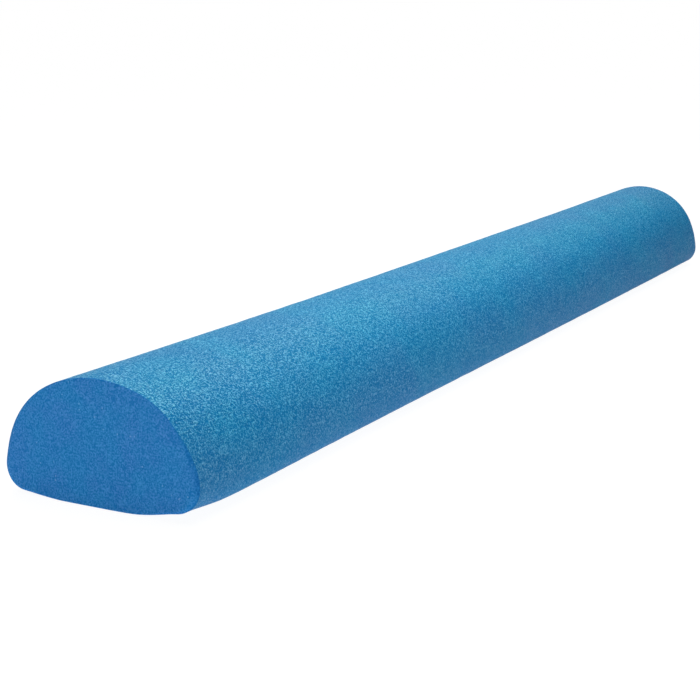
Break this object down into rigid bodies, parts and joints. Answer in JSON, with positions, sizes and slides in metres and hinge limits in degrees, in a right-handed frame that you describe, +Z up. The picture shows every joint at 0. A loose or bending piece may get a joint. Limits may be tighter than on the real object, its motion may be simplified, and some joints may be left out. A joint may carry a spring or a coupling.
{
  "type": "half-round foam roller",
  "caption": "Half-round exercise foam roller: a long D-section log of closed-cell foam with a pebbled skin, rounded corners and a flat base.",
  "frame": {"origin": "middle of the base, on the plane it rests on", "axes": "+X along the length, -Y is the front side, +Z up from the flat to the crown"},
  "size_m": [0.9144, 0.14, 0.0762],
  "materials": {
    "core_foam": "matte",
    "dome_skin": "satin",
    "base_skin": "satin",
    "cut_end": "matte"
  },
  "bodies": {
    "root": {"foam_core": "core_foam", "dome_skin": "dome_skin", "base_skin": "base_skin", "left_end_skin": "cut_end", "right_end_skin": "cut_end"}
  },
  "joints": []
}
